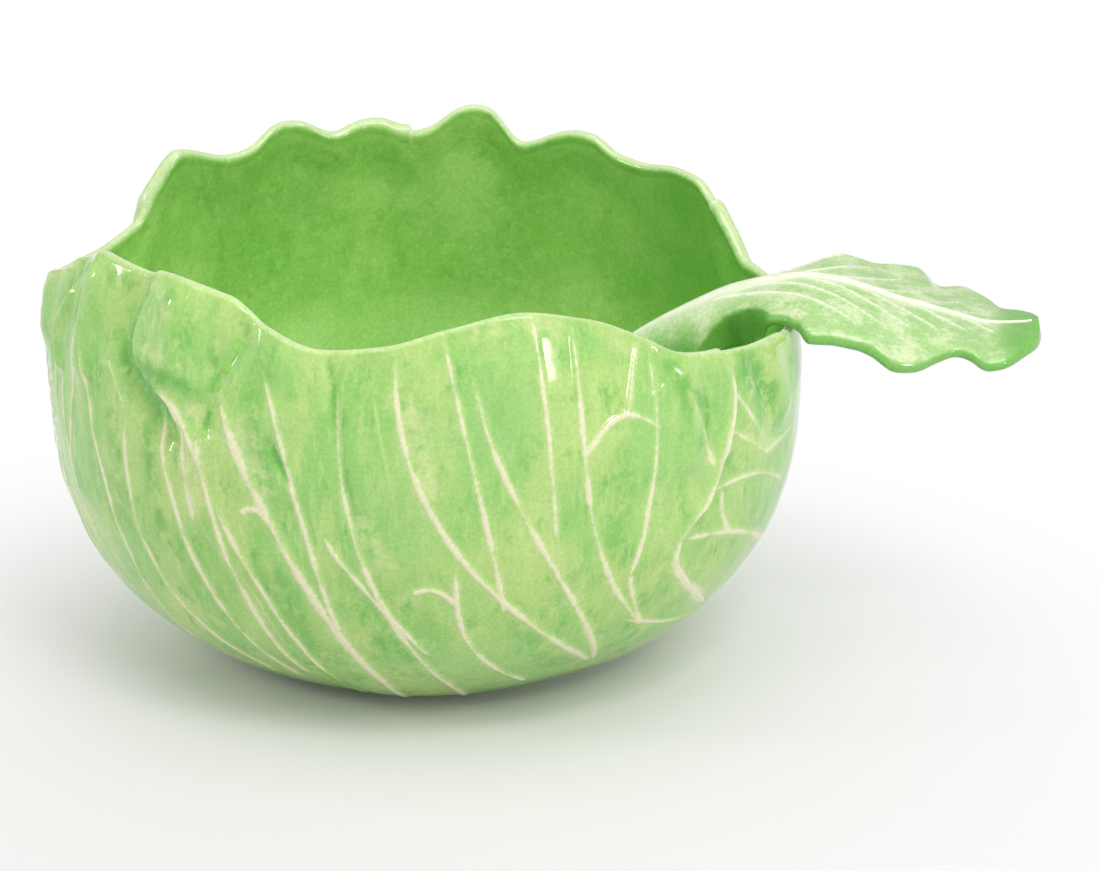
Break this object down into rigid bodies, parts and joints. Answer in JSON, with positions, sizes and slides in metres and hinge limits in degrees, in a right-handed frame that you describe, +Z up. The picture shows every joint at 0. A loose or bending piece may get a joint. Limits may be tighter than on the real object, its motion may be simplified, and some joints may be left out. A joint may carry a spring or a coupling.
{
  "type": "soup tureen",
  "caption": "Open earthenware soup tureen shaped as overlapping veined green leaves, with a leaf-handled ladle that rests in it and lifts out.",
  "frame": {"origin": "centre of the foot ring's underside, on the table", "axes": "+Z up out of the mouth; +X towards the low side of the rim, where the ladle's blade passes over it; +Y towards the high back rim"},
  "size_m": [0.4001, 0.3066, 0.1784],
  "materials": {
    "bowl_liner": "glossy green glaze over cream slip veins",
    "front_leaf": "glossy green glaze over cream slip veins",
    "front_right_leaf": "glossy green glaze over cream slip veins",
    "right_leaf": "glossy green glaze over cream slip veins",
    "back_right_leaf": "glossy green glaze over cream slip veins",
    "back_leaf": "glossy green glaze over cream slip veins",
    "back_left_leaf": "glossy green glaze over cream slip veins",
    "left_leaf": "glossy green glaze over cream slip veins",
    "foot_ring": "unglazed, matt",
    "ladle_scoop": "glossy green glaze over cream slip veins",
    "ladle_stem": "glossy green glaze over cream slip veins",
    "ladle_leaf": "glossy green glaze over cream slip veins",
    "ladle_midrib": "glossy green glaze over cream slip veins"
  },
  "bodies": {
    "tureen": {"bowl_liner": "bowl_liner", "front_leaf": "front_leaf", "front_right_leaf": "front_right_leaf", "right_leaf": "right_leaf", "back_right_leaf": "back_right_leaf", "back_leaf": "back_leaf", "back_left_leaf": "back_left_leaf", "left_leaf": "left_leaf", "foot_ring": "foot_ring"},
    "ladle": {"ladle_scoop": "ladle_scoop", "ladle_stem": "ladle_stem", "ladle_leaf": "ladle_leaf", "ladle_midrib": "ladle_midrib"}
  },
  "joints": [
    {"name": "ladle_lift", "type": "slide", "parent": "tureen", "child": "ladle", "axis": [0, 0, 1], "range_m": [0, 0.2]}
  ]
}
